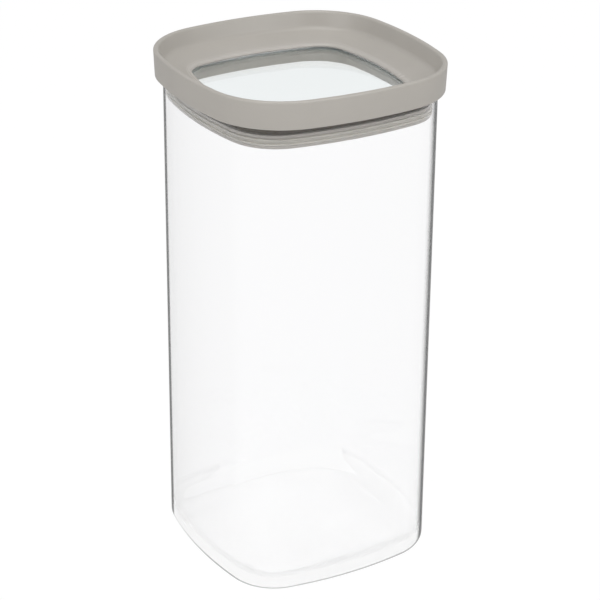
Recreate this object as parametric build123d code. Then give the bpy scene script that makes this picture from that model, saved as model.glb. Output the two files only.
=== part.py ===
"""Square glass storage canister with a stacking window lid.

A glass jar of bowed-square section is closed by a moulded lid. The lid has a raised rim that takes the foot
of another canister, a dish that falls to a clear window, and a plug with a finned gasket that seals inside
the jar's mouth. The window pane is held up against its seal by a ring that snaps into the plug from below.
Millimetres, +Z up, origin at the middle of the foot.
"""

import math
import os
from dataclasses import dataclass

from build123d import *

# Jar
JAR_WIDTH = 100.0  # across the middles of two opposite sides
JAR_CORNER_R = 23.0
JAR_SIDE_R = 165.0  # the sides are shallow arcs, not flats
JAR_HEIGHT = 214.3  # foot to lip
JAR_WALL = 1.8
JAR_FLOOR = 4.2  # glass between the foot ring and the floor
FOOT_R = 5.0  # where the sides turn into the foot
FOOT_RING = 8.0  # width of the ring that the jar stands on, at the middle of a side
FLOOR_R = 6.0  # where the bore turns into the floor
LIP_R = 0.8  # fire-polished rounding of the lip
PUSH_UP_RISE = 2.0  # height of the hollow under the foot
PUSH_UP_EDGE_R = 3.0

# Lid frame, outside
LID_OVERHANG = 4.7  # rim top past the jar's outside, at the middle of a side
LID_CORNER_EASE = 10.0  # the lid's corners are rounder than the jar's by this radius
LID_SIDE_EASE = 3.0  # the lid's sides are flatter than the jar's by this radius
LID_DRAFT = 0.5  # the skirt edge lies this far inside the rim, on each side
RIM_WALL = 2.1  # at the top of the rim
RIM_R = 0.9
SKIRT_WALL = 1.9
SKIRT_DROP = 1.5  # the skirt hangs this far past the seat
SKIRT_R = 0.5
TRAY_DEPTH = 7.1  # rim top to the outer edge of the dish
DISH_RISE = 3.2  # seat to the outer edge of the dish
DISH_INSET = 4.2  # rim outside to the outer edge of the dish
DISH_FALL = 3.4  # outer edge of the dish to the window
DISH_EASE = 1.6  # the corner between the tray wall and the dish is rounded off over this, each way
WINDOW_INSET = 11.4  # jar outside to the window's edge, at the middle of a side
WINDOW_CORNER_R = 12.0
WINDOW_SIDE_R = 118.0
WINDOW_LIP = 1.2  # thickness of the dish's edge over the pane
WINDOW_EASE = 0.9  # the dish's edge is broken by this, each way

# Lid frame, underside
SEAT_PAST = 0.2  # the flat seat over the jar's lip reaches this far past the jar's outside
POCKET_ROOF = 1.6  # left over the moulding pocket between seat and skirt, under the dish's outer edge
RIB_THICKNESS = 1.5  # ribs across that pocket
RIB_PITCH = 22.0
RIBS_PER_SIDE = 3
PLUG_DEPTH = 11.2  # seat to the plug's lower edge
PLUG_WALL = 1.4
PLUG_EDGE_R = 0.4
FLANGE_LOW = 1.2  # height of the flange under the gasket
FLANGE_HIGH = 1.3  # height of the flange above the gasket
GROOVE_HEIGHT = 3.2
GROOVE_DEPTH = 1.4
SNAP_RISE = 2.1  # plug's lower edge to the middle of the snap groove
SNAP_HEIGHT = 1.4
SNAP_DEPTH = 0.4

# Window pane, its seal and its retainer
PANE_THICKNESS = 2.0
PANE_EASE = 0.3  # the pane's edges are broken by this
SEAL_THICKNESS = 0.9
SEAL_WIDTH = 4.8
RETAINER_WALL = 5.2  # at the ledge that carries the pane
RETAINER_DRAFT = 2.7  # the ring opens downwards by this, on each side
RETAINER_CORNER_EASE = 6.0  # the ring's opening has rounder corners than its outside, by this radius
RETAINER_RECESS = 0.8  # the ring stops this far inside the plug
RETAINER_EASE = 0.4
BEAD_LENGTH = 10.0  # snap beads, two on each side
BEAD_PITCH = 34.0

# Gasket
GASKET_FINS = 2
FIN_ROOT = 1.2  # height of a fin where it leaves the band
FIN_TIP = 0.35  # height of a fin at its tip

# Clearances
SEAT_GAP = 0.1  # seat to jar lip
FLANGE_GAP = 0.8  # plug flanges to the jar's bore
FIN_GAP = 0.2  # gasket fins to the jar's bore, drawn relaxed
PANE_GAP = 0.3  # pane and seal to the plug's bore
RETAINER_GAP = 0.2  # retainer to the plug's bore
SNAP_GAP = 0.1  # snap bead to its groove
GASKET_GAP = 0.05  # gasket to its groove

# Heights that follow
Z_SEAT = JAR_HEIGHT + SEAT_GAP
Z_SKIRT = Z_SEAT - SKIRT_DROP
Z_DISH = Z_SEAT + DISH_RISE
Z_POCKET = Z_DISH - POCKET_ROOF
Z_RIM = Z_DISH + TRAY_DEPTH
Z_WINDOW = Z_DISH - DISH_FALL
Z_LIP = Z_WINDOW - WINDOW_LIP
Z_PANE = Z_LIP - SEAL_THICKNESS
Z_LEDGE = Z_PANE - PANE_THICKNESS
Z_PLUG = Z_SEAT - PLUG_DEPTH
Z_GROOVE = Z_PLUG + FLANGE_LOW
Z_GROOVE_TOP = Z_GROOVE + GROOVE_HEIGHT
Z_NECK = Z_GROOVE_TOP + FLANGE_HIGH
Z_SNAP = Z_PLUG + SNAP_RISE

# Insets from the jar's outside that follow
FLANGE = JAR_WALL + FLANGE_GAP
NECK = FLANGE + GROOVE_DEPTH
PLUG_BORE = NECK + PLUG_WALL

RIGHT_ANGLE = 90.0
PAST = 1.0  # a cut runs this far past the face that it opens
ROUND_SHARE = 0.45  # the two roundings of a wall's edge take at most this share of the wall each


@dataclass(frozen=True)
class BowedSquare:
    """A square outline with rounded corners and gently bowed sides, made of eight tangent arcs."""

    half: float
    corner_r: float
    side_r: float

    @property
    def corner_centre(self):
        """Distance of a corner arc's centre from the middle, along X and along Y."""
        reach = self.side_r - self.half
        span = self.side_r - self.corner_r
        return (math.sqrt(2 * span**2 - reach**2) - reach) / 2

    @property
    def side_angle(self):
        """Half the angle of a side arc, in degrees."""
        centre = self.corner_centre
        return math.degrees(math.atan2(centre, centre + self.side_r - self.half))

    @property
    def arcs(self):
        """Centre, radius, start angle and sweep of the first side and the first corner."""
        lean = self.side_angle
        centre = self.corner_centre
        side = ((self.half - self.side_r, 0.0), self.side_r, -lean, 2 * lean)
        corner = ((centre, centre), self.corner_r, lean, RIGHT_ANGLE - 2 * lean)
        return side, corner

    def inset(self, distance):
        """The parallel outline that lies this far inside."""
        return BowedSquare(self.half - distance, self.corner_r - distance, self.side_r - distance)

    def rounder(self, ease):
        """The outline with its corners rounder by this radius."""
        return BowedSquare(self.half, self.corner_r + ease, self.side_r)

    def blend(self, other, share):
        """The outline that lies this share of the way to another one."""
        keep = 1 - share
        return BowedSquare(
            keep * self.half + share * other.half,
            keep * self.corner_r + share * other.corner_r,
            keep * self.side_r + share * other.side_r,
        )

    def face(self, z):
        """The filled outline at height z."""
        arcs = [CenterArc((x, y, z), radius, start, sweep) for (x, y), radius, start, sweep in self.arcs]
        return Face(Wire([turned for turn in range(4) for turned in quarter_turn(arcs, turn)]))

    def prism(self, low, high):
        """The outline as a straight block between two heights."""
        return extrude(self.face(low), high - low, dir=(0, 0, 1))

    def ring(self, profile):
        """A closed profile of (inset, height) points, carried round the outline."""
        runs = []
        for (x, y), radius, start, sweep in self.arcs:
            section = Polyline(*[(radius - inset, 0, z) for inset, z in profile], close=True)
            run = revolve(make_face(section), Axis.Z, revolution_arc=sweep)
            runs.append(Pos(x, y, 0) * Rot(0, 0, start) * run)
        return Part() + [turned for turn in range(4) for turned in quarter_turn(runs, turn)]


def quarter_turn(shapes, turn):
    """The shapes, carried round the upright axis by a number of quarter turns."""
    return [Rot(0, 0, RIGHT_ANGLE * turn) * shape for shape in shapes]


def on_each_side(shape):
    """A shape drawn on the +X side, repeated on all four sides."""
    return Part() + [turned for turn in range(4) for turned in quarter_turn([shape], turn)]


def level_edges(part, z, tolerance=0.01):
    """The edges of a part that lie level at height z."""
    return part.edges().filter_by_position(Axis.Z, z - tolerance, z + tolerance)


JAR = BowedSquare(JAR_WIDTH / 2, JAR_CORNER_R, JAR_SIDE_R)
LID = BowedSquare(JAR.half + LID_OVERHANG, JAR_CORNER_R + LID_CORNER_EASE, JAR_SIDE_R + LID_SIDE_EASE)
WINDOW = BowedSquare(JAR.half - WINDOW_INSET, WINDOW_CORNER_R, WINDOW_SIDE_R)


def push_up():
    """The hollow under the foot: a low dome, with its edge rounded into the ring that the jar stands on."""
    push_up_r = JAR.half - FOOT_R - FOOT_RING
    dome_r = (push_up_r**2 + PUSH_UP_RISE**2) / (2 * PUSH_UP_RISE)
    reach = dome_r + PUSH_UP_EDGE_R
    edge = math.sqrt(reach**2 - (reach - PUSH_UP_RISE) ** 2)
    lean = math.degrees(math.asin(edge / reach))
    dome = CenterArc((0, PUSH_UP_RISE - dome_r), dome_r, RIGHT_ANGLE - lean, lean)
    rounding = CenterArc((edge, PUSH_UP_EDGE_R), PUSH_UP_EDGE_R, -RIGHT_ANGLE - lean, lean)
    below = Polyline((edge, 0), (edge, -PAST), (0, -PAST), (0, PUSH_UP_RISE))
    return revolve(Plane.XZ * make_face([dome, rounding, below]), Axis.Z)


def glass_jar():
    """The jar: bowed walls, a turned foot with a hollow under it, and a fire-polished lip."""
    outside = JAR.prism(0, JAR_HEIGHT)
    outside = fillet(level_edges(outside, 0), FOOT_R)
    bore = JAR.inset(JAR_WALL).prism(JAR_FLOOR, JAR_HEIGHT + PAST)
    bore = fillet(level_edges(bore, JAR_FLOOR), FLOOR_R)
    jar = outside - bore
    jar = fillet(level_edges(jar, JAR_HEIGHT), min(LIP_R, ROUND_SHARE * JAR_WALL))
    return jar - push_up()


def tray_space():
    """The space that the lid leaves open from above: window, dish and rim mouth, through level outlines."""
    dish_low = WINDOW.inset(-WINDOW_EASE)
    dish_high = LID.inset(DISH_INSET)
    mouth = LID.inset(RIM_WALL)
    dish_share = DISH_EASE / (dish_high.half - dish_low.half)
    wall_share = DISH_EASE / TRAY_DEPTH
    dish_end = dish_high.blend(dish_low, dish_share)
    wall_end = dish_high.blend(mouth, wall_share)
    z_dish_end = Z_DISH - DISH_FALL * dish_share
    z_wall_end = Z_DISH + DISH_EASE
    levels = [
        (WINDOW, Z_LIP - PAST),
        (WINDOW, Z_WINDOW - WINDOW_EASE),
        (dish_low, Z_WINDOW),
        (dish_end, z_dish_end),
        (dish_end.blend(wall_end, 0.5).blend(dish_high, 0.5), (z_dish_end + z_wall_end) / 4 + Z_DISH / 2),
        (wall_end, z_wall_end),
        (mouth, Z_RIM),
        (mouth, Z_RIM + PAST),
    ]
    return loft([outline.face(z) for outline, z in levels], ruled=True)


def skirt_space():
    """The space inside the skirt, round the jar's lip, with a ribbed pocket beside the seat."""
    neck = JAR.inset(NECK)
    skirt_bore = LID.inset(LID_DRAFT + SKIRT_WALL)
    lip_space = skirt_bore.prism(Z_SKIRT - PAST, Z_SEAT) - neck.prism(Z_SKIRT - PAST, Z_SEAT)
    pocket = skirt_bore.prism(Z_SEAT, Z_POCKET) - JAR.inset(-SEAT_PAST).prism(Z_SEAT, Z_POCKET)
    rib = Box(LID.half, RIB_THICKNESS, Z_POCKET - Z_SEAT, align=(Align.MIN, Align.CENTER, Align.MIN))
    middle = (RIBS_PER_SIDE - 1) / 2
    ribs = Part() + [Pos(0, (n - middle) * RIB_PITCH, Z_SEAT) * rib for n in range(RIBS_PER_SIDE)]
    return lip_space + (pocket - on_each_side(ribs))


def snap_profile(gap):
    """Profile of the snap groove, or with a gap, of the bead that lies in it."""
    tip = SNAP_HEIGHT / 4 - gap
    root = SNAP_HEIGHT / 2 - gap
    crest = PLUG_BORE - SNAP_DEPTH + gap
    base = PLUG_BORE + PAST
    return [
        (crest, Z_SNAP - tip),
        (PLUG_BORE, Z_SNAP - root),
        (base, Z_SNAP - root),
        (base, Z_SNAP + root),
        (PLUG_BORE, Z_SNAP + root),
        (crest, Z_SNAP + tip),
    ]


def lid_frame():
    """The moulded lid: rim, dish and skirt outside, and the plug with its gasket groove."""
    frame = loft([LID.inset(LID_DRAFT).face(Z_SKIRT), LID.face(Z_RIM)], ruled=True)
    frame = fillet(level_edges(frame, Z_SKIRT), SKIRT_R)
    frame -= skirt_space()
    frame += JAR.inset(NECK).prism(Z_PLUG, Z_SEAT)
    frame += JAR.inset(FLANGE).prism(Z_PLUG, Z_GROOVE)
    frame += JAR.inset(FLANGE).prism(Z_GROOVE_TOP, Z_NECK)
    frame -= JAR.inset(PLUG_BORE).prism(Z_PLUG - PAST, Z_LIP)
    frame -= tray_space()
    frame = fillet(level_edges(frame, Z_RIM), min(RIM_R, ROUND_SHARE * RIM_WALL))
    frame = fillet(level_edges(frame, Z_PLUG), PLUG_EDGE_R)
    return frame - JAR.ring(snap_profile(gap=0))


def window_pane():
    """The clear pane, with its edges broken."""
    pane = JAR.inset(PLUG_BORE + PANE_GAP).prism(Z_LEDGE, Z_PANE)
    return chamfer(level_edges(pane, Z_LEDGE) + level_edges(pane, Z_PANE), PANE_EASE)


def window_seal():
    """The flat soft ring between the pane and the dish's lip."""
    outside = JAR.inset(PLUG_BORE + PANE_GAP)
    return outside.prism(Z_PANE, Z_LIP) - outside.inset(SEAL_WIDTH).prism(Z_PANE, Z_LIP)


def window_retainer():
    """The ring that carries the pane on its ledge and snaps into the plug."""
    z_low = Z_PLUG + RETAINER_RECESS
    outside = JAR.inset(PLUG_BORE + RETAINER_GAP)
    ledge = outside.inset(RETAINER_WALL).rounder(RETAINER_CORNER_EASE)
    ring = outside.prism(z_low, Z_LEDGE)
    ring -= loft([ledge.inset(-RETAINER_DRAFT).face(z_low), ledge.face(Z_LEDGE)], ruled=True)
    ring = chamfer(level_edges(ring, z_low), RETAINER_EASE)
    length = Box(JAR_WIDTH, BEAD_LENGTH, JAR_HEIGHT, align=(Align.MIN, Align.CENTER, Align.MIN))
    lengths = Part() + [Pos(0, side * BEAD_PITCH / 2, JAR_FLOOR) * length for side in (-1, 1)]
    return ring + (JAR.ring(snap_profile(SNAP_GAP)) & on_each_side(lengths))


def lid_gasket():
    """The soft sealing band in the plug's groove, with its fins."""
    back = NECK - GASKET_GAP
    band = FLANGE
    tip = JAR_WALL + FIN_GAP
    low = Z_GROOVE + GASKET_GAP
    high = Z_GROOVE_TOP - GASKET_GAP
    spare = (high - low - GASKET_FINS * FIN_ROOT) / (GASKET_FINS - 1)
    profile = [(back, high), (back, low)]
    for fin in range(GASKET_FINS):
        root = low + fin * (FIN_ROOT + spare)
        middle = root + FIN_ROOT / 2
        profile += [(band, root), (tip, middle), (tip, middle + FIN_TIP), (band, root + FIN_ROOT)]
    return JAR.ring(profile)


def main():
    """Builds every sub-part and writes it under its node's name."""
    os.makedirs("parts", exist_ok=True)
    for piece in (glass_jar, lid_frame, window_pane, window_seal, window_retainer, lid_gasket):
        export_step(piece(), f"parts/{piece.__name__}.step")


if __name__ == "__main__":
    main()
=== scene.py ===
"""Looks of a square glass storage canister with a stacking window lid.

Each CAD node is replaced by a smooth piece of the same size, made from profiles that are carried round the
canister's bowed-square outlines, and dressed in a procedural finish. A plain white studio and a camera at
the photograph's angle complete the scene. Metres, +Z up, in the frame's own axes.
"""

import logging
import math
from collections.abc import Iterator, Sequence
from dataclasses import asdict, dataclass, field, replace
from enum import Enum
from typing import Any

import bmesh
import bpy
from bmesh.types import BMEdge, BMFace, BMVert
from mathutils import Matrix, Vector


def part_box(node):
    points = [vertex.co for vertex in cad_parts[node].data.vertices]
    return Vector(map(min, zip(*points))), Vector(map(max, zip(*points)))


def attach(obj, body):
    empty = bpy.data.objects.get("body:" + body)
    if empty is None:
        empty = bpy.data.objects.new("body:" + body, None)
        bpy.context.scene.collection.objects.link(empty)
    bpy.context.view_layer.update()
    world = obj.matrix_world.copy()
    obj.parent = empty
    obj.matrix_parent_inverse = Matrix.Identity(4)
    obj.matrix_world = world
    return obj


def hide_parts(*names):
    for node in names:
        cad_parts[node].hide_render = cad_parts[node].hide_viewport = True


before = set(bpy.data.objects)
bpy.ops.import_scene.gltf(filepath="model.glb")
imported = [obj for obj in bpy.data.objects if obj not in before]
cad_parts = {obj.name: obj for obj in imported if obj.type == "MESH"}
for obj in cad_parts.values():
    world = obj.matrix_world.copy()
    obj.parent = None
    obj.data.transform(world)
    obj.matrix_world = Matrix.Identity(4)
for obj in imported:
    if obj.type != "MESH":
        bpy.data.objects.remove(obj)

LOG = logging.getLogger("canister")
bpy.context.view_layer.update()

MM = 0.001
WELD = 0.002 * MM  # vertices nearer than this are one
SIDE_STEPS = 20  # faces along each bowed side
CORNER_STEPS = 24  # faces round each corner
BEAD_STEPS = 2  # faces along a short bead
ROUND_STEPS = 6  # faces round a small rounding of a profile
WIDE_ROUND = 3.0 * MM  # a rounding of this radius or more gets twice as many
SHARP_ANGLE = math.radians(40)
AIR = 0.03 * MM  # left between faces that lie on each other
RIGHT_ANGLE = math.pi / 2

WHITE = (1.0, 1.0, 1.0, 1.0)
NEVER = (1.0, 2.0)  # turned further aside than any face
UPRIGHT = (0.2, 0.6)  # slopes at which a face still counts as upright, and no longer does
UNDERSIDE = (-0.4, -0.1)  # slopes at which a face counts as an underside, and no longer does
CLOUDY = (0.3, 0.7)  # noise at which the colour begins to cloud over, and fully does
WIPED = (0.45, 0.75)  # noise at which a surface begins to look wiped, and fully does
DRAWN_UP = (1.0, 1.0, 0.15)  # waves are longest along Z
SOME = 0.5  # a depth over this has met a face
ONE_WALL = 2.5  # a depth under this has met the two faces of one wall, or less

Colour = tuple[float, float, float, float]
Span = tuple[float, float]
Socket = bpy.types.NodeSocket
Edges = list[BMEdge]


class Slot(Enum):
    """The record's material slots."""

    GLASS = "jar_glass"
    PLASTIC = "lid_plastic"
    WINDOW = "window_plastic"
    SILICONE = "seal_silicone"


class Body(Enum):
    """The bodies that pieces ride on."""

    JAR = "jar"
    LID = "lid"


def quarter_turn(quarter: int) -> Matrix:
    """A turn about Z by a number of quarter turns."""
    return Matrix.Rotation(quarter * RIGHT_ANGLE, 4, "Z")


def only(kind: type, geometry: Sequence[Any]) -> list[Any]:
    """The vertices, the edges or the faces of some geometry."""
    return [item for item in geometry if isinstance(item, kind)]


def add_object(name: str, data: bpy.types.ID) -> bpy.types.Object:
    """Adds an object to the scene.

    Args:
        name: Its name.
        data: Its mesh, lamp or camera.

    Returns:
        The object.
    """
    made = bpy.data.objects.new(name, data)
    bpy.context.scene.collection.objects.link(made)
    return made


@dataclass(frozen=True)
class Corner:
    """A corner of a profile.

    Attributes:
        inset: How far inside the outline it lies.
        z: Its height.
        radius: The length of each edge that its rounding takes, or 0 for a sharp corner.
    """

    inset: float
    z: float
    radius: float = 0.0


Profile = Sequence[Corner]


@dataclass(frozen=True)
class Outline:
    """A square outline with rounded corners and gently bowed sides, made of eight tangent arcs.

    Attributes:
        half: Half the width across the middles of two opposite sides.
        corner_r: Radius of the corners.
        side_r: Radius of the bowed sides.
    """

    half: float
    corner_r: float
    side_r: float

    @property
    def corner_centre(self) -> float:
        """Where the centre of a corner's arc is.

        Returns:
            Its distance from the middle, along X and along Y.
        """
        reach = self.side_r - self.half
        span = self.side_r - self.corner_r
        return (math.sqrt(2 * span**2 - reach**2) - reach) / 2

    @property
    def lean(self) -> float:
        """Half the angle of a side arc."""
        return math.atan2(self.corner_centre, self.corner_centre + self.side_r - self.half)

    def side_x(self, y: float, inset: float = 0.0) -> float:
        """The +X side's distance from the middle at a place along it, or that of a line inside it."""
        return self.half - self.side_r + math.sqrt((self.side_r - inset) ** 2 - y**2)

    def start(self, corner: Corner) -> Vector:
        """The place of a profile's corner where the +X side begins.

        Args:
            corner: The corner.

        Returns:
            Its place.
        """
        reach = self.side_r - corner.inset
        x = self.half - self.side_r + reach * math.cos(self.lean)
        return Vector((x, -reach * math.sin(self.lean), corner.z))

    def arcs(self) -> Iterator[tuple[Vector, float, int]]:
        """The arcs, in order from the +X side.

        Yields:
            The centre, angle and number of steps of each.
        """
        middle = self.corner_centre
        for quarter in range(4):
            turn = quarter_turn(quarter)
            yield turn @ Vector((self.half - self.side_r, 0, 0)), 2 * self.lean, SIDE_STEPS
            yield turn @ Vector((middle, middle, 0)), RIGHT_ANGLE - 2 * self.lean, CORNER_STEPS


class Shell:
    """A mesh in the making, shaped by operators on one bmesh."""

    def __init__(self) -> None:
        """Starts with nothing."""
        self.bm = bmesh.new()

    def _profile(self, corners: Profile, places: Sequence[Vector], closed: bool) -> list[Any]:
        """Draws a profile and rounds its corners.

        Args:
            corners: The profile's corners.
            places: Where they are.
            closed: Whether the last corner joins the first.

        Returns:
            The profile's vertices and edges.
        """
        before = set(self.bm.verts)
        points = [self.bm.verts.new(place) for place in places]
        ends = points[1:] + points[:1] if closed else points[1:]
        for first, second in zip(points, ends):
            self.bm.edges.new((first, second))
        for point, corner in zip(points, corners):
            if corner.radius:
                bmesh.ops.bevel(
                    self.bm,
                    geom=[point],
                    offset=corner.radius,
                    offset_type="OFFSET",
                    segments=ROUND_STEPS * (2 if corner.radius >= WIDE_ROUND else 1),
                    profile=0.5,
                    affect="VERTICES",
                    material=-1,
                )
        verts = [vert for vert in self.bm.verts if vert not in before]
        return verts + list({edge for vert in verts for edge in vert.link_edges})

    def _spin(self, geometry: list[Any], centre: Vector, angle: float, steps: int) -> list[Any]:
        """Carries geometry round an upright axis.

        Args:
            geometry: What is carried.
            centre: A point on the axis.
            angle: How far it turns.
            steps: In how many steps.

        Returns:
            The geometry at the end of the turn.
        """
        made = bmesh.ops.spin(
            self.bm, geom=geometry, cent=centre, axis=(0, 0, 1), dvec=(0, 0, 0), angle=angle, steps=steps
        )
        return made["geom_last"]

    def sweep(self, outline: Outline, corners: Profile, closed: bool = False, finish: int = 0) -> None:
        """Carries a profile all the way round an outline.

        Args:
            outline: The outline.
            corners: The profile's corners.
            closed: Whether the profile is a closed section.
            finish: Which of the piece's finishes the faces get.
        """
        before = set(self.bm.faces)
        places = [outline.start(corner) for corner in corners]
        geometry = self._profile(corners, places, closed)
        for centre, angle, steps in outline.arcs():
            geometry = self._spin(geometry, centre, angle, steps)
        for face in self.bm.faces:
            if face not in before:
                face.material_index = finish
        self.weld()

    def stretch(self, outline: Outline, corners: Profile, y: float, length: float, quarter: int) -> None:
        """Carries a closed profile along a short stretch of one side and closes its ends.

        Args:
            outline: The outline.
            corners: The profile's corners.
            y: Where the stretch begins along the side.
            length: How long it is.
            quarter: Which side, in quarter turns from +X.
        """
        before = set(self.bm.verts)
        centre = Vector((outline.half - outline.side_r, 0, 0))
        begin = Matrix.Rotation(math.asin(y / outline.side_r), 3, "Z")
        places = [centre + begin @ Vector((outline.side_r - corner.inset, 0, corner.z)) for corner in corners]
        first = self._profile(corners, places, True)
        last = self._spin(first, centre, length / outline.side_r, BEAD_STEPS)
        for end in (first, last):
            bmesh.ops.edgeloop_fill(self.bm, edges=only(BMEdge, end))
        made = [vert for vert in self.bm.verts if vert not in before]
        bmesh.ops.rotate(self.bm, verts=made, cent=(0, 0, 0), matrix=quarter_turn(quarter))

    def block(self, low: Vector, high: Vector, quarter: int) -> None:
        """Adds a block on one side.

        Args:
            low: Its lowest corner, on the +X side.
            high: Its highest corner, on the +X side.
            quarter: Which side, in quarter turns from +X.
        """
        place = Matrix.LocRotScale((low + high) / 2, None, high - low)
        bmesh.ops.create_cube(self.bm, size=1, matrix=quarter_turn(quarter) @ place)

    def weld(self) -> None:
        """Joins vertices that lie on each other."""
        bmesh.ops.remove_doubles(self.bm, verts=self.bm.verts, dist=WELD)

    def open_edges(self, *heights: float) -> Edges:
        """The open edges of the shell at some heights.

        Args:
            heights: The heights.

        Returns:
            The edges.
        """
        return [
            edge
            for edge in self.bm.edges
            if edge.is_boundary
            and any(all(abs(vert.co.z - z) < WELD for vert in edge.verts) for z in heights)
        ]

    def bridge(self, *heights: float) -> None:
        """Joins the two open loops at these heights with a strip of faces."""
        bmesh.ops.bridge_loops(self.bm, edges=self.open_edges(*heights))

    def ring(self, z: float, finish: int = 0) -> None:
        """Fills the flat ring between the two open loops at a height.

        Args:
            z: The height.
            finish: Which of the piece's finishes the faces get.
        """
        edges = self.open_edges(z)
        made = bmesh.ops.triangle_fill(self.bm, edges=edges, use_beauty=True, normal=(0, 0, 1))["geom"]
        for face in only(BMFace, made):
            face.material_index = finish

    def cap(self, z: float, finish: int = 0) -> None:
        """Closes the open loop at a height with a flat face in one of the piece's finishes."""
        bmesh.ops.edgeloop_fill(self.bm, edges=self.open_edges(z), mat_nr=finish)

    def dome(self, edges: Edges, rings: Sequence[Span], top: float) -> None:
        """Closes an open loop with a dome.

        Args:
            edges: The loop.
            rings: Radius and height of each ring of the dome, from the loop inwards.
            top: Height of the dome's middle.
        """
        for radius, z in (*rings, (WELD, top)):
            made = bmesh.ops.extrude_edge_only(self.bm, edges=edges)["geom"]
            edges = [edge for edge in only(BMEdge, made) if edge.is_boundary]
            verts = only(BMVert, made)
            for vert in verts:
                flat = vert.co.xy.normalized() * radius
                vert.co = Vector((flat.x, flat.y, z))
        bmesh.ops.pointmerge(self.bm, verts=verts, merge_co=(0, 0, top))

    def finish(self, name: str, sharp: float = SHARP_ANGLE) -> bpy.types.Object:
        """Makes the shell an object.

        Args:
            name: The object's name.
            sharp: Edges that turn by more than this stay sharp.

        Returns:
            The object.
        """
        self.weld()
        bmesh.ops.recalc_face_normals(self.bm, faces=self.bm.faces)
        for face in self.bm.faces:
            face.smooth = True
        for edge in self.bm.edges:
            edge.smooth = not edge.is_manifold or edge.calc_face_angle() < sharp
        mesh = bpy.data.meshes.new(name)
        self.bm.to_mesh(mesh)
        self.bm.free()
        return add_object(name, mesh)


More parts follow.
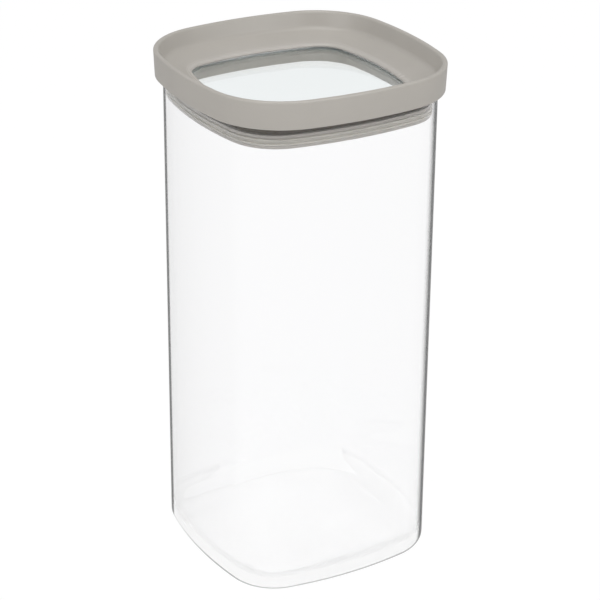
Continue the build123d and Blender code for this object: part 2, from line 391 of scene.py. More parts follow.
class Graph:
    """Short calls for filling a node tree."""

    def __init__(self, tree: bpy.types.NodeTree) -> None:
        """Takes the tree to fill."""
        self.tree = tree

    @classmethod
    def paint(cls, name: str) -> tuple[bpy.types.Material, "Graph", bpy.types.Node]:
        """Starts a material.

        Args:
            name: Its name.

        Returns:
            The material, its nodes and its shader.
        """
        made = bpy.data.materials.new(name)
        made.use_nodes = True
        return made, cls(made.node_tree), made.node_tree.nodes["Principled BSDF"]

    def feed(self, node: bpy.types.Node, inputs: dict[Any, Any]) -> None:
        """Fills inputs of a node.

        Args:
            node: The node.
            inputs: A value, or a socket to read, for each input that isn't left as it is.
        """
        for name, value in inputs.items():
            if isinstance(value, Socket):
                self.tree.links.new(value, node.inputs[name])
            else:
                node.inputs[name].default_value = value

    def node(self, kind: str, inputs: dict[Any, Any] | None = None, **settings: Any) -> bpy.types.Node:
        """Adds a node.

        Args:
            kind: The node's type.
            inputs: What its inputs are filled with.
            settings: The node's own settings.

        Returns:
            The node.
        """
        made = self.tree.nodes.new(kind)
        for name, value in settings.items():
            setattr(made, name, value)
        self.feed(made, inputs or {})
        return made

    def surface(self, share: Any, first: bpy.types.Node, second: bpy.types.Node) -> None:
        """Makes the surface a mix of two shaders, the first at a share of 0 and the second at 1."""
        mix = self.node("ShaderNodeMixShader", {0: share, 1: first.outputs[0], 2: second.outputs[0]})
        self.feed(self.tree.nodes["Material Output"], {"Surface": mix.outputs["Shader"]})

    def math(self, operation: str, first: Any, second: Any = 0.0) -> Socket:
        """A sum of one kind, of one or two values or sockets."""
        return self.node("ShaderNodeMath", {0: first, 1: second}, operation=operation).outputs[0]

    def both(self, first: Any, second: Any) -> Socket:
        """Where two masks both show."""
        return self.math("MULTIPLY", first, second)

    def less(self, value: Any) -> Socket:
        """One, less a value."""
        return self.math("SUBTRACT", 1.0, value)

    def choose(self, share: Any, first: Any, second: Any) -> Socket:
        """A value between two, the first at a share of 0 and the second at 1."""
        return self.node("ShaderNodeMix", {0: share, 2: first, 3: second}, data_type="FLOAT").outputs[0]

    def blend(self, share: Any, first: Any, second: Any) -> Socket:
        """A colour between two, the first at a share of 0 and the second at 1."""
        return self.node("ShaderNodeMix", {0: share, 6: first, 7: second}, data_type="RGBA").outputs[2]

    def spread(self, value: Any, span: Span, to: Span = (0.0, 1.0)) -> Socket:
        """Maps a range of values smoothly to another.

        Args:
            value: The socket to map.
            span: The values that give the first and the second result.
            to: The two results.

        Returns:
            The result's socket.
        """
        inputs = {"From Min": span[0], "From Max": span[1], "To Min": to[0], "To Max": to[1]}
        made = self.node("ShaderNodeMapRange", {"Value": value, **inputs}, interpolation_type="SMOOTHSTEP")
        return made.outputs["Result"]

    def place(self) -> Socket:
        """A place on the canister."""
        return self.node("ShaderNodeTexCoord").outputs["Object"]

    def axis(self, vector: Socket, name: str) -> Socket:
        """One axis of a vector."""
        return self.node("ShaderNodeSeparateXYZ", {0: vector}).outputs[name]

    def noise(self, place: Socket, scale: Socket, detail: float, twist: float = 0.0) -> Socket:
        """Soft noise of a scale, with finer detail in it and twisted out of line."""
        inputs = {"Vector": place, "Scale": scale, "Detail": detail, "Distortion": twist}
        return self.node("ShaderNodeTexNoise", inputs).outputs["Fac"]

    def corner(self, start: float) -> Socket:
        """One in the four upright corners, and 0 on the sides.

        Args:
            start: Distance from the middle, along X and along Y, past which a place is in a corner.

        Returns:
            The mask's socket.
        """
        place = self.place()
        across = [self.math("ABSOLUTE", self.axis(place, name)) for name in "XY"]
        return self.spread(self.math("MINIMUM", *across), (start - MM, start + MM))

    def lie(self) -> Socket:
        """One where the surface faces up, 0 where it is upright and -1 where it faces down."""
        return self.axis(self.node("ShaderNodeTexCoord").outputs["Normal"], "Z")

    def upright(self) -> Socket:
        """One where the surface is upright, and 0 where it lies flat."""
        return self.spread(self.math("ABSOLUTE", self.lie()), UPRIGHT, (1, 0))

    def underside(self) -> Socket:
        """One where the surface faces down and is seen from outside."""
        outside = self.less(self.node("ShaderNodeNewGeometry").outputs["Backfacing"])
        return self.both(self.spread(self.lie(), UNDERSIDE, (1, 0)), outside)

    def facing(self, **normal: Socket) -> Socket:
        """How squarely a ray meets a face, or one with another Normal, from 0 along it to 1 straight on."""
        return self.less(self.node("ShaderNodeLayerWeight", normal).outputs["Facing"])

    def turn_away(self) -> Socket:
        """How far an upright face turns aside from a ray, whatever the ray's slope.

        Returns:
            The socket, from 0 straight on to 1 along the face.
        """
        slope = self.facing(Normal=self.node("ShaderNodeCombineXYZ", {"Z": 1.0}).outputs["Vector"])
        level = self.math("SQRT", self.less(self.math("MULTIPLY", slope, slope)))
        return self.less(self.math("DIVIDE", self.facing(), level))


class Effect(Enum):
    """Surface effects that several finishes share, each a shader node group."""

    GRAIN = "moulded_grain"
    HAZE = "handling_haze"
    WAVES = "drawn_waves"

    def place(self, graph: Graph, values: dict[str, float]) -> Any:
        """The outputs of the effect, placed in a material with its own values."""
        return graph.node("ShaderNodeGroup", values, node_tree=self._group()).outputs

    def _group(self) -> bpy.types.NodeTree:
        """The effect's node group, built at its first use.

        Returns:
            The group.
        """
        if self.value not in bpy.data.node_groups:
            fill = {Effect.GRAIN: self._grain, Effect.HAZE: self._haze, Effect.WAVES: self._waves}[self]
            fill(Graph(bpy.data.node_groups.new(self.value, "ShaderNodeTree")))
        return bpy.data.node_groups[self.value]

    @staticmethod
    def _sockets(tree: bpy.types.NodeTree, inputs: Sequence[str], outputs: Sequence[str]) -> tuple[Any, Any]:
        """Gives a group its sockets.

        Args:
            tree: The group.
            inputs: Names of the values that it takes.
            outputs: Names of the values that it gives.

        Returns:
            The values that it takes, and the node that gives its results.
        """
        for way, names in (("INPUT", inputs), ("OUTPUT", outputs)):
            for name in names:
                tree.interface.new_socket(name, in_out=way, socket_type="NodeSocketFloat")
        return tree.nodes.new("NodeGroupInput").outputs, tree.nodes.new("NodeGroupOutput")

    @classmethod
    def _grain(cls, graph: Graph) -> None:
        """Fine moulded texture, and a faint cloudiness in the colour.

        Args:
            graph: The group's nodes.
        """
        given, gives = cls._sockets(graph.tree, ["Grain Scale", "Cloud Scale"], ["Height", "Cloud"])
        place = graph.place()
        grain = graph.noise(place, given["Grain Scale"], detail=2.0)
        cloud = graph.noise(place, given["Cloud Scale"], detail=3.0)
        graph.feed(gives, {"Height": grain, "Cloud": graph.spread(cloud, CLOUDY)})

    @classmethod
    def _haze(cls, graph: Graph) -> None:
        """Roughness that rises in soft patches where the surface is handled and wiped.

        Args:
            graph: The group's nodes.
        """
        given, gives = cls._sockets(graph.tree, ["Patch Scale", "Clean", "Hazy"], ["Roughness"])
        patch = graph.noise(graph.place(), given["Patch Scale"], detail=4.0, twist=0.6)
        rough = graph.choose(graph.spread(patch, WIPED), given["Clean"], given["Hazy"])
        graph.feed(gives, {"Roughness": rough})

    @classmethod
    def _waves(cls, graph: Graph) -> None:
        """Slow upright waves, as glass and clear plastic have from their forming.

        Args:
            graph: The group's nodes.
        """
        given, gives = cls._sockets(graph.tree, ["Wave Scale"], ["Height"])
        drawn = graph.node("ShaderNodeMapping", {"Vector": graph.place(), "Scale": DRAWN_UP})
        wave = graph.noise(drawn.outputs["Vector"], given["Wave Scale"], detail=1.0)
        graph.feed(gives, {"Height": wave})


@dataclass(frozen=True)
class ClearFinish:
    """A clear material that shows what is behind it.

    Attributes:
        name: The material's name.
        body: Its colour, seen straight on.
        edge: Its colour where an upright face is seen edge on, a painted dark edge that stands for dark
            surroundings bent and mirrored into view.
        side_edge: How far an upright face turns aside where it begins to look edge on, and does so fully.
        ior: How strongly it bends light.
        wave_scale: Waves per metre.
        wave_depth: Depth of the waves.
        patch_scale: Wiped patches per metre.
        hazy: Roughness of the wiped patches.
    """

    name: str
    body: Colour
    edge: Colour
    side_edge: Span
    ior: float
    wave_scale: float
    wave_depth: float
    patch_scale: float
    hazy: float

    def _edge_on(self, graph: Graph) -> Socket:
        """Where the material is seen edge on."""
        return graph.both(graph.spread(graph.turn_away(), self.side_edge), graph.upright())

    def _solid(self, graph: Graph, edge: Socket) -> dict[str, Socket]:
        """What Alpha gets, where the material doesn't look solid all over."""
        return {}

    def material(self) -> bpy.types.Material:
        """The material, which lets lamps through to what is behind it.

        Returns:
            The material.
        """
        made, graph, shader = Graph.paint(self.name)
        edge = self._edge_on(graph)
        haze = Effect.HAZE.place(graph, {"Patch Scale": self.patch_scale, "Clean": 0.0, "Hazy": self.hazy})
        waves = Effect.WAVES.place(graph, {"Wave Scale": self.wave_scale})
        bump = graph.node("ShaderNodeBump", {"Height": waves["Height"], "Distance": self.wave_depth})
        inputs = {
            "Transmission Weight": 1.0,
            "IOR": self.ior,
            # Base Color turns to the painted dark edge where the face is seen edge on
            "Base Color": graph.blend(edge, self.body, self.edge),
            "Roughness": haze["Roughness"],
            "Normal": bump.outputs["Normal"],
        }
        graph.feed(shader, inputs | self._solid(graph, edge))
        shadow = graph.node("ShaderNodeLightPath").outputs["Is Shadow Ray"]
        graph.surface(shadow, shader, graph.node("ShaderNodeBsdfTransparent", {"Color": self.body}))
        return made


@dataclass(frozen=True)
class JarFinish(ClearFinish):
    """Clear glass with painted dark edges along its sides, its upright corners and the rounding under its
    foot, and faint at its foot.

    Attributes:
        corner_from: Distance from the middle, along X and along Y, where the corners begin.
        corner_edge: How far a corner turns aside where it begins to look edge on, and does so fully.
        foot_edge: How squarely a ray meets the rounding under the foot where that looks fully edge on, and
            where it begins to.
        foot: How solid the foot looks, from 0 to 1.
        foot_top: Height where the glass looks fully solid.
    """

    corner_from: float
    corner_edge: Span
    foot_edge: Span
    foot: float
    foot_top: float

    def _edge_on(self, graph: Graph) -> Socket:
        """Where the glass is seen edge on: at the sides, the corners and the rounding under the foot.

        Args:
            graph: The material's nodes.

        Returns:
            The mask's socket.
        """
        aside = graph.both(graph.spread(graph.turn_away(), self.corner_edge), graph.upright())
        corner = graph.both(aside, graph.corner(self.corner_from))
        under = graph.both(graph.spread(graph.facing(), self.foot_edge, (1, 0)), graph.underside())
        return graph.math("MAXIMUM", graph.math("MAXIMUM", corner, under), super()._edge_on(graph))

    def _solid(self, graph: Graph, edge: Socket) -> dict[str, Socket]:
        """What Alpha gets: the glass looks faint at the foot, apart from its edges.

        Args:
            graph: The material's nodes.
            edge: One where the glass is seen edge on.

        Returns:
            The socket for Alpha, by that name.
        """
        height = graph.axis(graph.place(), "Z")
        wall = graph.spread(height, (self.foot_top / 2, self.foot_top), (self.foot, 1))
        return {"Alpha": graph.math("MAXIMUM", wall, edge)}


@dataclass(frozen=True)
class MouldedFinish:
    """A moulded, opaque material.

    Attributes:
        name: The material's name.
        pale: The paler of the two colours that cloud into each other.
        deep: The deeper of them.
        smooth: Roughness where it is smoothest.
        worn: Roughness in the handled patches.
        grain_scale: Grains per metre.
        grain_depth: Depth of the grain.
        subsurface: How much light goes under the surface.
        light_depth: How deep it goes.
        light_share: How much of that depth red, green and blue light reach.
        cloud_scale: Clouds per metre.
        patch_scale: Handled patches per metre.
    """

    name: str
    pale: Colour
    deep: Colour
    smooth: float
    worn: float
    grain_scale: float
    grain_depth: float
    subsurface: float = 0.0
    light_depth: float = 1.0 * MM
    light_share: tuple[float, float, float] = (1.0, 0.95, 0.9)
    cloud_scale: float = 28.0
    patch_scale: float = 35.0

    def _colour(self, graph: Graph, cloud: Socket) -> Socket:
        """The colour, which is paler where it clouds over."""
        return graph.blend(cloud, self.deep, self.pale)

    def material(self) -> bpy.types.Material:
        """The material.

        Returns:
            The material.
        """
        made, graph, shader = Graph.paint(self.name)
        grain = Effect.GRAIN.place(graph, {"Grain Scale": self.grain_scale, "Cloud Scale": self.cloud_scale})
        wear = {"Patch Scale": self.patch_scale, "Clean": self.smooth, "Hazy": self.worn}
        bump = graph.node("ShaderNodeBump", {"Height": grain["Height"], "Distance": self.grain_depth})
        inputs = {
            "Base Color": self._colour(graph, grain["Cloud"]),
            "Roughness": Effect.HAZE.place(graph, wear)["Roughness"],
            "Normal": bump.outputs["Normal"],
            "Subsurface Weight": self.subsurface,
            "Subsurface Radius": self.light_share,
            "Subsurface Scale": self.light_depth,
        }
        graph.feed(shader, inputs)
        return made


@dataclass(frozen=True)
class PaintedShadeFinish(MouldedFinish):
    """A moulded material with painted shade: its colour turns dark while another face stands close before it.

    Attributes:
        shade: The painted shade's colour in the gap.
        reach: How far off the other face still counts.
        shut: The open shares of the view at which the gap looks fully shut, and open.
    """

    shade: Colour = (0.0, 0.0, 0.0, 1.0)
    reach: float = 8.0 * MM
    shut: Span = (0.2, 0.6)

    def _colour(self, graph: Graph, cloud: Socket) -> Socket:
        """The colour, which gives way to the painted shade in a gap."""
        free = graph.node("ShaderNodeAmbientOcclusion", {"Distance": self.reach}).outputs["AO"]
        return graph.blend(graph.spread(free, self.shut), self.shade, super()._colour(graph, cloud))


# The edge colours of the glass and the window plastic are painted dark edges, for dark surroundings that the
# clear walls bend and mirror into view.
JAR_GLASS = JarFinish(
    name="clear_soda_glass",
    body=(0.992, 0.992, 0.995, 1.0),
    edge=(0.02, 0.021, 0.021, 1.0),
    side_edge=(0.78, 0.912),
    ior=1.5,
    wave_scale=60.0,
    wave_depth=0.03 * MM,
    patch_scale=22.0,
    hazy=0.02,
    corner_from=28.0 * MM,
    corner_edge=(0.493, 0.735),
    foot_edge=(0.2, 0.5),
    foot=0.08,
    foot_top=14.0 * MM,
)
JAR_INSIDE = replace(JAR_GLASS, name="clear_soda_glass_inside", side_edge=NEVER, corner_edge=NEVER)
WINDOW_PLASTIC = ClearFinish(
    name="clear_window_plastic",
    body=(0.965, 1.0, 1.0, 1.0),
    edge=(0.45, 0.52, 0.52, 1.0),
    side_edge=(0.78, 0.945),
    ior=1.49,
    wave_scale=25.0,
    wave_depth=0.02 * MM,
    patch_scale=22.0,
    hazy=0.03,
)
LID_PLASTIC = MouldedFinish(
    name="taupe_moulded_plastic",
    pale=(0.449, 0.425, 0.390, 1.0),
    deep=(0.428, 0.405, 0.371, 1.0),
    smooth=0.3,
    worn=0.4,
    grain_scale=2400.0,
    grain_depth=0.004 * MM,
    subsurface=0.05,
)
# The plug's neck under the skirt: painted shade, dark brown while the jar's wall stands close before it.
NECK_PAINTED_SHADE = PaintedShadeFinish(
    **{**asdict(LID_PLASTIC), "name": "taupe_plastic_painted_gap_shade", "subsurface": 0.0},
    shade=(0.050, 0.036, 0.013, 1.0),
)
# Smoother and paler than the frame's plastic: the smoothness is its own, the paleness is painted light, a
# painted highlight along the dish's edge and painted light on the plug, which lies in shade under the skirt.
PLASTIC_PAINTED_LIGHTER = replace(
    LID_PLASTIC,
    name="taupe_plastic_smooth_painted_light",
    pale=(0.500, 0.474, 0.440, 1.0),
    deep=(0.478, 0.453, 0.421, 1.0),
    smooth=0.22,
    worn=0.3,
)
# Off-white colours, painted light for the retainer's ledge and the seal, which lie in shade under the dish's
# lip.
PAINTED_LIGHT_WHITES = {"pale": (0.9, 0.885, 0.86, 1.0), "deep": (0.86, 0.845, 0.82, 1.0)}
LEDGE_PAINTED_LIGHT = replace(LID_PLASTIC, name="ledge_plastic_painted_pale", **PAINTED_LIGHT_WHITES)
SILICONE = MouldedFinish(
    name="milky_silicone",
    pale=(0.575, 0.552, 0.500, 1.0),
    deep=(0.538, 0.516, 0.468, 1.0),
    smooth=0.48,
    worn=0.6,
    grain_scale=1500.0,
    grain_depth=0.006 * MM,
    subsurface=0.9,
    light_depth=3.0 * MM,
)
# The seal's silicone in off-white: painted light, which lifts the shaded line under the dish's lip.
SEAL_SILICONE_PAINTED_LIGHT = replace(SILICONE, name="seal_silicone_painted_pale", **PAINTED_LIGHT_WHITES)


@dataclass(frozen=True)
class Piece:
    """One piece of the canister, ready to be dressed.

    Attributes:
        made: Its object.
        node: The CAD node that it stands for.
        body: The body that it rides on.
        slot: The record's slot for its finish; not used by this script.
    """

    made: bpy.types.Object
    node: str
    body: Body
    slot: Slot

    def dress(self, *materials: bpy.types.Material) -> None:
        """Gives the piece its materials and its place in the frame.

        Args:
            materials: The materials, in the order of its faces' slots.
        """
        for material in materials:
            self.made.data.materials.append(material)
        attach(self.made, self.body.value)
        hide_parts(self.node)
        finish = ", ".join(material.name for material in materials)
        LOG.info("%s: %d faces, %s", self.made.name, len(self.made.data.polygons), finish)


@dataclass
class Jar:
    """The glass jar: bowed walls, a turned foot with a hollow under it, and a fire-polished lip."""

    outline: Outline
    height: float
    corner_r: float = 23.0 * MM
    side_r: float = 165.0 * MM
    wall: float = 1.8 * MM
    floor: float = 4.2 * MM
    floor_r: float = 6.0 * MM
    foot_r: float = 5.0 * MM
    foot_ring: float = 8.0 * MM  # from the foot's rounding to the hollow, at its narrowest
    lip_r: float = 0.8 * MM
    push_up_rise: float = 2.0 * MM
    push_up_edge_r: float = 3.0 * MM
    support: float = 4.0 * MM  # about the width of the faces that keep a rounding's shading off the flats
    dome_rings: int = 8
    pieces: list[Piece] = field(default_factory=list)

    @classmethod
    def from_frame(cls) -> "Jar":
        """The jar, as large as its CAD node."""
        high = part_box("glass_jar")[1]
        return cls(Outline(high.x, cls.corner_r, cls.side_r), high.z)

    def push_up(self) -> list[Span]:
        """The rings of the hollow under the foot.

        Returns:
            The radius and height of each, from the hollow's edge inwards.
        """
        radius = self.outline.half - self.foot_r - self.foot_ring
        dome_r = (radius**2 + self.push_up_rise**2) / (2 * self.push_up_rise)
        reach = dome_r + self.push_up_edge_r
        edge = math.sqrt(reach**2 - (reach - self.push_up_rise) ** 2)
        meet = edge * dome_r / reach
        rings = [(edge + self.support, 0.0), (edge, 0.0)]
        for step in range(self.dome_rings):
            ring = meet * (1 - step / self.dome_rings)
            rings.append((ring, self.push_up_rise - dome_r + math.sqrt(dome_r**2 - ring**2)))
        return rings

    def build(self) -> None:
        """Makes the jar's mesh."""
        shell = Shell()
        near = self.support
        inside = [
            Corner(self.wall + self.floor_r + near, self.floor),
            Corner(self.wall, self.floor, self.floor_r),
            Corner(self.wall, self.floor + self.floor_r + near),
            Corner(self.wall, self.height - near),
        ]
        outside = [
            Corner(self.wall, self.height - near),
            Corner(self.wall, self.height, self.lip_r),
            Corner(0, self.height, self.lip_r),
            Corner(0, self.height - near),
            Corner(0, self.foot_r + near),
            Corner(0, 0, self.foot_r),
            Corner(self.foot_r + near / 2, 0),
        ]
        shell.sweep(self.outline, inside, finish=1)
        shell.cap(self.floor, finish=1)
        shell.sweep(self.outline, outside)
        shell.dome(shell.open_edges(0), self.push_up(), self.push_up_rise)
        self.pieces = [Piece(shell.finish("jar_of_glass"), "glass_jar", Body.JAR, Slot.GLASS)]

    def dress(self) -> None:
        """Gives the jar its finishes."""
        self.pieces[0].dress(JAR_GLASS.material(), JAR_INSIDE.material())


@dataclass
class Lid:
    """The lid: a moulded frame with a plug, a window pane with its seal and retainer, and a finned gasket."""

    jar: Outline
    jar_wall: float
    rim: Outline
    window: Outline
    z_plug: float
    z_rim: float
    z_ledge: float
    z_pane: float
    z_lip: float
    z_seat: float
    seat_gap: float = 0.1 * MM  # from the jar's lip to the seat
    draft: float = 0.5 * MM  # how far the skirt leans in
    rim_corner_r: float = 33.0 * MM
    rim_side_r: float = 168.0 * MM
    rim_wall: float = 2.1 * MM
    rim_r: float = 0.9 * MM
    skirt_wall: float = 1.9 * MM
    skirt_drop: float = 1.5 * MM  # below the seat
    skirt_r: float = 0.5 * MM
    tray_depth: float = 7.1 * MM  # from the top of the rim to the outer edge of the dish
    dish_inset: float = 4.2 * MM
    dish_fall: float = 3.4 * MM
    dish_ease: float = 1.6 * MM
    dish_edge_share: float = 0.2  # share of the dish's slope that has the paler edge finish, a painted highlight
    window_inset: float = 11.4 * MM
    window_corner_r: float = 12.0 * MM
    window_side_r: float = 118.0 * MM
    window_ease: float = 0.9 * MM
    pocket_rise: float = 1.6 * MM  # above the seat
    seat_past: float = 0.2 * MM  # how far the seat reaches past the jar's outline
    rib: float = 1.5 * MM
    rib_pitch: float = 22.0 * MM
    flange: float = 2.6 * MM  # inside the jar's outline, as the neck and the bore are
    neck: float = 4.0 * MM
    bore: float = 5.4 * MM
    flange_low: float = 1.2 * MM
    flange_high: float = 1.3 * MM
    groove: float = 3.2 * MM
    plug_edge_r: float = 0.4 * MM
    snap_rise: float = 2.1 * MM  # middle of the snap groove above the plug's foot
    snap_height: float = 1.4 * MM
    snap_depth: float = 0.4 * MM
    bead_length: float = 10.0 * MM
    bead_pitch: float = 34.0 * MM
    pane_gap: float = 0.3 * MM
    seal_width: float = 4.8 * MM
    retainer_gap: float = 0.2 * MM
    retainer_wall: float = 5.2 * MM
    retainer_draft: float = 2.7 * MM  # how far the opening widens downwards
    retainer_ease: float = 6.0 * MM  # how much rounder the opening's corners are than the jar's
    retainer_recess: float = 0.8 * MM  # above the plug's foot
    gasket_gap: float = 0.05 * MM
    fin_gap: float = 0.2 * MM
    fin_root: float = 1.2 * MM
    fin_tip: float = 0.35 * MM
    soft: float = 0.15 * MM  # rounding of small edges
    pieces: list[Piece] = field(default_factory=list)

    @classmethod
    def from_frame(cls, jar: Jar) -> "Lid":
        """The lid, as large as its CAD nodes.

        Args:
            jar: The jar that it closes.

        Returns:
            The lid.
        """
        low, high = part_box("lid_frame")
        pane_low, pane_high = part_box("window_pane")
        window_half = jar.outline.half - cls.window_inset
        z_seat = jar.height + cls.seat_gap
        lean = cls.draft / (high.z - z_seat + cls.skirt_drop)
        return cls(
            jar=jar.outline,
            jar_wall=jar.wall,
            rim=Outline(high.x + lean * cls.rim_r, cls.rim_corner_r, cls.rim_side_r),
            window=Outline(window_half, cls.window_corner_r, cls.window_side_r),
            z_plug=low.z,
            z_rim=high.z,
            z_ledge=pane_low.z,
            z_pane=pane_high.z,
            z_lip=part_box("window_seal")[1].z,
            z_seat=z_seat,
        )

    def snap(self, foot: float, gap: float = 0.0) -> list[Corner]:
        """The snap groove in the plug, or a bead that fits it.

        Args:
            foot: Where it begins, inside the jar's outline.
            gap: How much smaller the bead is.

        Returns:
            The corners of its profile, from the lowest.
        """
        crest = self.bore - self.snap_depth + gap
        middle = self.z_plug + self.snap_rise
        high = self.snap_height / 2 - gap
        flat = self.snap_height / 4 - gap
        places = ((foot, -high), (crest, -flat), (crest, flat), (foot, high))
        return [Corner(inset, middle + rise) for inset, rise in places]

    def moulding(self) -> bpy.types.Object:
        """The moulded frame: rim, dish, skirt and plug.

        Returns:
            The frame's object.
        """
        shell = Shell()
        z_dish = self.z_rim - self.tray_depth
        z_skirt = self.z_seat - self.skirt_drop
        z_pocket = self.z_seat + self.pocket_rise
        skirt_bore = self.draft + self.skirt_wall
        run = self.rim.half - self.dish_inset - self.window.half - self.window_ease
        slope = self.dish_fall / run
        z_mid = z_dish - slope * run / 2
        rim = [
            Corner(self.dish_inset + run / 2, z_mid),
            Corner(self.dish_inset, z_dish, self.dish_ease),
            Corner(self.rim_wall, self.z_rim, self.rim_r),
            Corner(0, self.z_rim, self.rim_r),
            Corner(self.draft, z_skirt, self.skirt_r),
            Corner(skirt_bore, z_skirt, self.soft),
            Corner(skirt_bore, z_pocket),
        ]
        z_edge = z_dish - slope * (run + self.window_ease)
        reach = run * self.dish_edge_share
        z_under = self.z_lip + 2 * self.soft
        dish_edge = [
            Corner(-reach, z_edge + slope * reach),
            Corner(0, z_edge, self.window_ease),
            Corner(0, z_under),
        ]
        dish_lip = [
            Corner(0, z_under),
            Corner(0, self.z_lip, self.soft),
            Corner(-reach, self.z_lip),
        ]
        z_groove = self.z_plug + self.flange_low
        z_groove_top = z_groove + self.groove
        z_neck = z_groove_top + self.flange_high
        seat = [
            Corner(-self.seat_past, z_pocket),
            Corner(-self.seat_past, self.z_seat, self.soft),
            Corner(self.neck, self.z_seat),
        ]
        neck = [Corner(self.neck, self.z_seat), Corner(self.neck, z_neck)]
        collar = [
            Corner(self.neck, z_neck),
            Corner(self.flange, z_neck, self.soft),
            Corner(self.flange, z_groove_top, self.soft),
            Corner(self.neck, z_groove_top),
        ]
        plug = [
            Corner(self.neck, z_groove_top),
            Corner(self.neck, z_groove),
            Corner(self.flange, z_groove, self.soft),
            Corner(self.flange, self.z_plug, self.plug_edge_r),
            Corner(self.bore, self.z_plug, self.plug_edge_r),
            *self.snap(self.bore),
            Corner(self.bore, self.z_lip),
            Corner(self.bore + reach, self.z_lip),
        ]
        shell.sweep(self.jar, seat)
        # the neck's faces get the painted gap shade
        shell.sweep(self.jar, neck, finish=1)
        shell.sweep(self.jar, collar)
        # the plug's faces get the paler plastic, painted light against the shade under the skirt
        shell.sweep(self.jar, plug, finish=2)
        shell.sweep(self.rim, rim)
        # the dish's edge gets the paler plastic, a painted highlight
        shell.sweep(self.window, dish_edge, finish=2)
        shell.sweep(self.window, dish_lip)
        shell.bridge(z_mid, z_edge + slope * reach)
        shell.ring(self.z_lip)
        shell.ring(z_pocket)
        for quarter in range(4):
            for place in (-1, 0, 1):
                y = place * self.rib_pitch
                near = self.jar.side_x(y, -self.seat_past) - self.soft
                far = self.rim.side_x(y, skirt_bore) + self.soft
                low = Vector((near, y - self.rib / 2, self.z_seat))
                high = Vector((far, y + self.rib / 2, z_pocket + self.soft))
                shell.block(low, high, quarter)
        return shell.finish("lid_moulding")

    def pane(self) -> bpy.types.Object:
        """The clear pane of the window.

        Returns:
            The pane's object.
        """
        shell = Shell()
        edge = self.bore + self.pane_gap
        inner = edge + 2 * self.seal_width
        profile = [
            Corner(inner, self.z_pane),
            Corner(edge + 2 * self.pane_gap, self.z_pane),
            Corner(edge, self.z_pane, self.pane_gap),
            Corner(edge, self.z_ledge, self.pane_gap),
            Corner(edge + 2 * self.pane_gap, self.z_ledge),
            Corner(inner, self.z_ledge),
        ]
        shell.sweep(self.jar, profile)
        shell.cap(self.z_pane)
        shell.cap(self.z_ledge)
        return shell.finish("clear_pane")

    def seal(self) -> bpy.types.Object:
        """The soft ring between the pane and the dish's edge.

        Returns:
            The seal's object.
        """
        shell = Shell()
        edge = self.bore + self.pane_gap
        low = self.z_pane + AIR
        high = self.z_lip - AIR
        profile = [
            Corner(edge, low, self.soft),
            Corner(edge, high, self.soft),
            Corner(edge + self.seal_width, high, self.soft),
            Corner(edge + self.seal_width, low, self.soft),
        ]
        shell.sweep(self.jar, profile, closed=True)
        return shell.finish("pane_seal_ring")

    def retainer(self) -> bpy.types.Object:
        """The ring that carries the pane and snaps into the plug.

        Returns:
            The retainer's object.
        """
        shell = Shell()
        outside = self.bore + self.retainer_gap
        ledge = outside + self.retainer_wall
        low = self.z_plug + self.retainer_recess
        high = self.z_ledge - AIR
        foot = ledge - self.retainer_draft
        reach = 2 * self.plug_edge_r
        outer = [
            Corner(outside + reach, high),
            Corner(outside, high, self.soft),
            Corner(outside, low, self.plug_edge_r),
            Corner(outside + reach, low),
        ]
        inner = [
            Corner(ledge - 2 * self.soft, high),
            Corner(ledge, high, self.soft),
            Corner(foot, low, self.plug_edge_r),
            Corner(foot - reach, low),
        ]
        shell.sweep(self.jar, outer)
        shell.sweep(replace(self.jar, corner_r=self.jar.corner_r + self.retainer_ease), inner)
        # the ledge's top under the pane is off-white: painted light in the shade of the lip
        shell.ring(high, finish=1)
        shell.ring(low)
        gap = self.retainer_gap / 2
        bead = self.snap(outside + gap, gap)
        for quarter in range(4):
            for side in (-1, 1):
                begin = (side * self.bead_pitch - self.bead_length) / 2
                shell.stretch(self.jar, bead, begin, self.bead_length, quarter)
        return shell.finish("pane_retainer_ring")

    def gasket(self) -> bpy.types.Object:
        """The finned band in the plug's groove.

        Returns:
            The gasket's object.
        """
        shell = Shell()
        low = self.z_plug + self.flange_low + self.gasket_gap
        high = self.z_plug + self.flange_low + self.groove - self.gasket_gap
        back = self.neck - self.gasket_gap
        tip = self.jar_wall + self.fin_gap
        profile = [Corner(back, high), Corner(back, low)]
        for root in (low, high - self.fin_root):
            middle = root + self.fin_root / 2
            profile += [
                Corner(self.flange, root),
                Corner(tip, middle, self.soft / 2),
                Corner(tip, middle + self.fin_tip, self.soft / 2),
                Corner(self.flange, root + self.fin_root),
            ]
        shell.sweep(self.jar, profile, closed=True)
        return shell.finish("plug_gasket_band")

    def build(self) -> None:
        """Makes the lid's meshes."""
        self.pieces = [
            Piece(self.moulding(), "lid_frame", Body.LID, Slot.PLASTIC),
            Piece(self.retainer(), "window_retainer", Body.LID, Slot.PLASTIC),
            Piece(self.pane(), "window_pane", Body.LID, Slot.WINDOW),
            Piece(self.seal(), "window_seal", Body.LID, Slot.SILICONE),
            Piece(self.gasket(), "lid_gasket", Body.LID, Slot.SILICONE),
        ]

    def dress(self) -> None:
        """Gives each piece its finish."""
        plastic = LID_PLASTIC.material()
        frame_piece, retainer, pane, seal, gasket = self.pieces
        # The frame's finishes by face index: plain plastic, the neck's painted gap shade, and a smoother
        # plastic whose paleness is painted light on the dish's edge and the plug.
        frame_piece.dress(plastic, NECK_PAINTED_SHADE.material(), PLASTIC_PAINTED_LIGHTER.material())
        retainer.dress(plastic, LEDGE_PAINTED_LIGHT.material())
        pane.dress(WINDOW_PLASTIC.material())
        seal.dress(SEAL_SILICONE_PAINTED_LIGHT.material())
        gasket.dress(SILICONE.material())


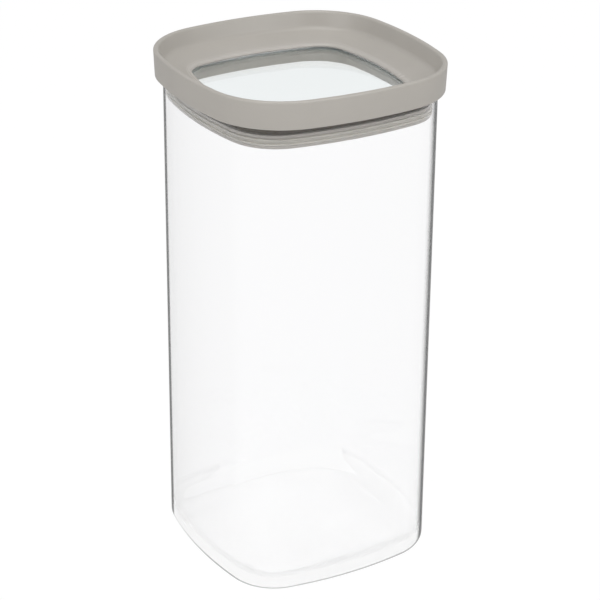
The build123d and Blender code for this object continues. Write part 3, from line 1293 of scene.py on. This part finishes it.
@dataclass(frozen=True)
class SoftBox:
    """A large soft lamp that points at the canister.

    Attributes:
        name: The lamp's name.
        azimuth: Where it stands, as the camera's azimuth is counted, in degrees.
        elevation: How high it stands, in degrees.
        distance: How far off it is.
        size: Its width.
        power: Its power, in watts.
    """

    name: str
    azimuth: float
    elevation: float
    distance: float
    size: float
    power: float

    def build(self, target: Vector) -> None:
        """Makes the lamp.

        Args:
            target: What it points at.
        """
        lamp = bpy.data.lights.new(self.name, "AREA")
        lamp.shape = "DISK"
        lamp.size = self.size
        lamp.energy = self.power
        made = add_object(self.name, lamp)
        turn = math.radians(self.azimuth)
        rise = math.radians(self.elevation)
        back = Vector((math.sin(turn) * math.cos(rise), -math.cos(turn) * math.cos(rise), math.sin(rise)))
        made.location = target + back * self.distance
        made.rotation_euler = back.to_track_quat("Z", "Y").to_euler()


@dataclass
class Studio:
    """A plain white studio: a pale floor, a white surround, soft lamps and the camera."""

    azimuth: float = -29.498
    elevation: float = 24.948
    roll: float = 0.509
    distance: float = 908.88 * MM
    aim: Vector = field(default_factory=lambda: Vector((0, 0, 110.0 * MM)))
    offset: Vector = field(default_factory=lambda: Vector((1.179 * MM, 2.675 * MM, 0)))
    lens: float = 125.8
    sensor: float = 36.0
    floor_radius: float = 6.0
    floor_paint: float = 0.85
    floor_rough: float = 0.9
    floor_gloss: float = 0.1
    floor_sides: int = 96
    floor_glow: float = 0.95  # share of plain white in the floor, which holds no shadow
    white: float = 1.02  # brightness of the background
    white_past_foot: float = 0.955  # the same, through the faint foot
    mirrored: float = 0.4  # the same, mirrored on an outer face
    mirrored_within: float = 1.0  # the same, mirrored within or behind one wall
    surround_light: float = 0.6  # brightness of the surround as a light
    lamps: tuple[SoftBox, ...] = (
        SoftBox("overhead", azimuth=-29.5, elevation=80.0, distance=1.3, size=1.1, power=5.5),
        SoftBox("front_left", azimuth=-66.0, elevation=22.0, distance=1.4, size=0.9, power=2.9),
        SoftBox("front_right", azimuth=20.0, elevation=26.0, distance=1.4, size=0.9, power=3.6),
    )

    def _seen(self, graph: Graph) -> tuple[Socket, Socket]:
        """What a ray finds in the studio.

        Args:
            graph: The nodes of the floor or the surround.

        Returns:
            The brightness that shows, which is lower in reflections and past the faint foot, and 1 for a ray
            that brings light.
        """
        path = graph.node("ShaderNodeLightPath").outputs
        reflected = graph.math("GREATER_THAN", path["Glossy Depth"], SOME)
        outside = graph.math("LESS_THAN", path["Transmission Depth"], SOME)
        one_wall = graph.math("LESS_THAN", path["Transmission Depth"], ONE_WALL)
        faint = graph.math("GREATER_THAN", path["Transparent Depth"], SOME)
        shown = graph.choose(graph.both(faint, outside), self.white, self.white_past_foot)
        shown = graph.choose(graph.both(reflected, one_wall), shown, self.mirrored_within)
        shown = graph.choose(graph.both(reflected, outside), shown, self.mirrored)
        return shown, graph.math("GREATER_THAN", path["Diffuse Depth"], SOME)

    def surround(self) -> None:
        """Makes the white surround."""
        world = bpy.data.worlds.new("white_surround")
        bpy.context.scene.world = world
        world.use_nodes = True
        graph = Graph(world.node_tree)
        shown, lights = self._seen(graph)
        strength = graph.choose(lights, shown, self.surround_light)
        graph.feed(world.node_tree.nodes["Background"], {"Color": WHITE, "Strength": strength})

    def floor(self) -> None:
        """Makes the pale floor, which keeps a soft shadow."""
        shell = Shell()
        bmesh.ops.create_circle(
            shell.bm, cap_ends=True, segments=self.floor_sides, radius=self.floor_radius
        )
        bmesh.ops.translate(shell.bm, verts=shell.bm.verts, vec=(0, 0, -AIR))
        made = shell.finish("studio_floor")
        paint, graph, shader = Graph.paint("pale_floor")
        inputs = {
            "Base Color": (self.floor_paint,) * 3 + (1,),
            "Roughness": self.floor_rough,
            "Specular IOR Level": self.floor_gloss,
        }
        graph.feed(shader, inputs)
        shown, lights = self._seen(graph)
        glow = graph.node("ShaderNodeEmission", {"Color": WHITE, "Strength": shown})
        graph.surface(graph.choose(lights, self.floor_glow, 0.0), shader, glow)
        made.data.materials.append(paint)

    def camera(self) -> None:
        """Makes the camera, at the photograph's angle."""
        lens = bpy.data.cameras.new("camera")
        lens.lens = self.lens
        lens.sensor_width = self.sensor
        made = add_object("camera", lens)
        round_z = Matrix.Rotation(math.radians(self.azimuth), 4, "Z")
        turn = round_z @ Matrix.Rotation(RIGHT_ANGLE - math.radians(self.elevation), 4, "X")
        place = self.aim + turn.to_3x3() @ (self.offset + Vector((0, 0, self.distance)))
        roll = Matrix.Rotation(math.radians(self.roll), 4, "Z")
        made.matrix_world = Matrix.Translation(place) @ turn @ roll
        bpy.context.scene.camera = made

    def build(self) -> None:
        """Makes the whole studio."""
        bpy.context.scene.view_settings.view_transform = "Standard"
        self.surround()
        self.floor()
        for lamp in self.lamps:
            lamp.build(self.aim)
        self.camera()


def main() -> None:
    """Builds and dresses the canister, and sets up the studio."""
    logging.basicConfig(level=logging.INFO, format="%(name)s: %(message)s")
    jar = Jar.from_frame()
    lid = Lid.from_frame(jar)
    for part in (jar, lid):
        part.build()
        part.dress()
    Studio().build()


if __name__ == "__main__":
    main()
